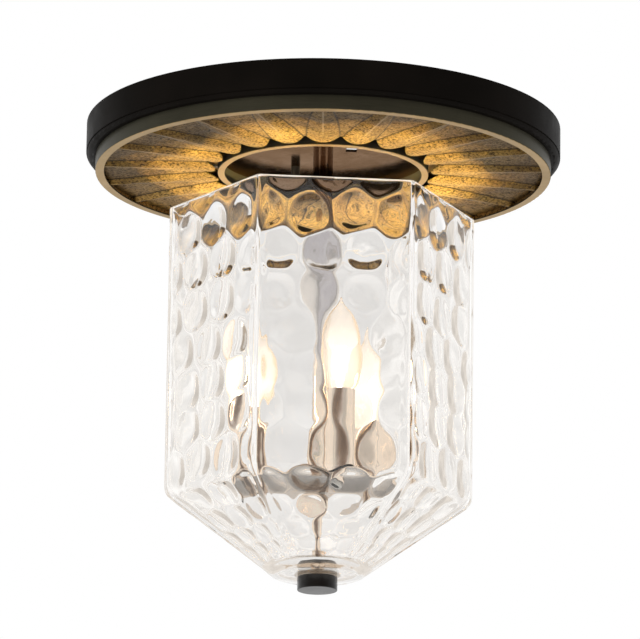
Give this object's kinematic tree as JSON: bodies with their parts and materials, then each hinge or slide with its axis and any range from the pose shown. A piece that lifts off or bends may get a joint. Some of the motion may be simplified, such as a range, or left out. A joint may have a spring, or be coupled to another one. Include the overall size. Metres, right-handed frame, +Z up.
{
  "type": "porch ceiling lantern",
  "caption": "Flush ceiling lantern: round black pan, bronze band, pleated gold reflector ring, chrome stem with candle sockets, and a hexagonal dimpled glass shade that lowers for bulb changes.",
  "frame": {"origin": "centre of the ceiling plane, midway between the two slots of the mounting strap", "axes": "+Z up into the ceiling, so the lantern hangs along -Z; +X along the mounting strap and through two opposite corners of the glass; -Y towards the viewer"},
  "size_m": [0.406, 0.406, 0.4048],
  "materials": {
    "black_paint": "semi-gloss black enamel",
    "bronze": "satin olive bronze",
    "antique_gold": "stippled antique gold leaf",
    "polished_bronze": "polished dark bronze",
    "chrome": "bright chrome",
    "zinc": "zinc plated steel",
    "ground_green": "green dyed steel",
    "black_plastic": "black heat-proof plastic",
    "brass_thread": "plain brass",
    "clear_glass": "clear dimpled glass",
    "bulb_clear": "clear thin glass",
    "glow": "lit filament sticks on a glass stem",
    "seal": "milky silicone",
    "black_finial": "satin black enamel"
  },
  "bodies": {
    "mount": {"ceiling_pan": "black_paint", "tray_band": "bronze", "pleated_reflector": "antique_gold", "recess_cup": "bronze", "recess_plate": "polished_bronze", "lead_bushing": "black_plastic", "band_screws": "zinc", "band_nuts": "zinc", "cup_screws": "zinc", "cup_nuts": "zinc", "mounting_strap": "zinc", "ground_screw": "ground_green", "center_rod": "zinc", "strap_nuts": "zinc", "pan_washer": "zinc", "pan_nut": "zinc", "stem": "chrome", "socket_plate": "chrome", "plate_nut": "chrome", "socket_nipples": "zinc", "nipple_nuts": "chrome", "ball_coupling": "chrome", "lower_rod": "chrome", "stop_collar": "chrome", "socket_body_1": "black_plastic", "socket_shell_1": "brass_thread", "socket_contact_1": "brass_thread", "candle_sleeve_1": "chrome", "socket_body_2": "black_plastic", "socket_shell_2": "brass_thread", "socket_contact_2": "brass_thread", "candle_sleeve_2": "chrome", "socket_body_3": "black_plastic", "socket_shell_3": "brass_thread", "socket_contact_3": "brass_thread", "candle_sleeve_3": "chrome"},
    "shade": {"glass_shade": "clear_glass", "inner_gasket": "seal", "outer_gasket": "seal"},
    "finial_slide": {"finial_washer": "zinc"},
    "finial": {"finial": "black_finial", "finial_insert": "brass_thread"},
    "bulb_1_slide": {"bulb_contact_1": "brass_thread"},
    "bulb_1": {"bulb_glass_1": "bulb_clear", "bulb_base_1": "brass_thread", "bulb_filament_1": "glow"},
    "bulb_2_slide": {"bulb_contact_2": "brass_thread"},
    "bulb_2": {"bulb_glass_2": "bulb_clear", "bulb_base_2": "brass_thread", "bulb_filament_2": "glow"},
    "bulb_3_slide": {"bulb_contact_3": "brass_thread"},
    "bulb_3": {"bulb_glass_3": "bulb_clear", "bulb_base_3": "brass_thread", "bulb_filament_3": "glow"}
  },
  "joints": [
    {"name": "shade_drop", "type": "slide", "parent": "mount", "child": "shade", "axis": [0, 0, -1], "range_m": [0, 0.34]},
    {"name": "finial_travel", "type": "slide", "parent": "shade", "child": "finial_slide", "axis": [0, 0, -1], "range_m": [0, 0.00612]},
    {"name": "finial_turn", "type": "hinge", "parent": "finial_slide", "child": "finial", "pos_m": [0, 0, -0.3991], "axis": [0, 0, -1], "range_deg": [0, 2340]},
    {"name": "bulb_1_travel", "type": "slide", "parent": "mount", "child": "bulb_1_slide", "axis": [0, 0, 1], "range_m": [0, 0.00763]},
    {"name": "bulb_1_turn", "type": "hinge", "parent": "bulb_1_slide", "child": "bulb_1", "pos_m": [0.01114, -0.05896, -0.2626], "axis": [0, 0, 1], "range_deg": [0, 1080]},
    {"name": "bulb_2_travel", "type": "slide", "parent": "mount", "child": "bulb_2_slide", "axis": [0, 0, 1], "range_m": [0, 0.00763]},
    {"name": "bulb_2_turn", "type": "hinge", "parent": "bulb_2_slide", "child": "bulb_2", "pos_m": [0.04549, 0.03913, -0.2626], "axis": [0, 0, 1], "range_deg": [0, 1080]},
    {"name": "bulb_3_travel", "type": "slide", "parent": "mount", "child": "bulb_3_slide", "axis": [0, 0, 1], "range_m": [0, 0.00763]},
    {"name": "bulb_3_turn", "type": "hinge", "parent": "bulb_3_slide", "child": "bulb_3", "pos_m": [-0.05663, 0.01983, -0.2626], "axis": [0, 0, 1], "range_deg": [0, 1080]}
  ],
  "couplings": [
    {"joint": "finial_travel", "follows": "finial_turn", "m_per_rad": 0.00014972},
    {"joint": "bulb_1_travel", "follows": "bulb_1_turn", "m_per_rad": 0.00040425},
    {"joint": "bulb_2_travel", "follows": "bulb_2_turn", "m_per_rad": 0.00040425},
    {"joint": "bulb_3_travel", "follows": "bulb_3_turn", "m_per_rad": 0.00040425}
  ]
}
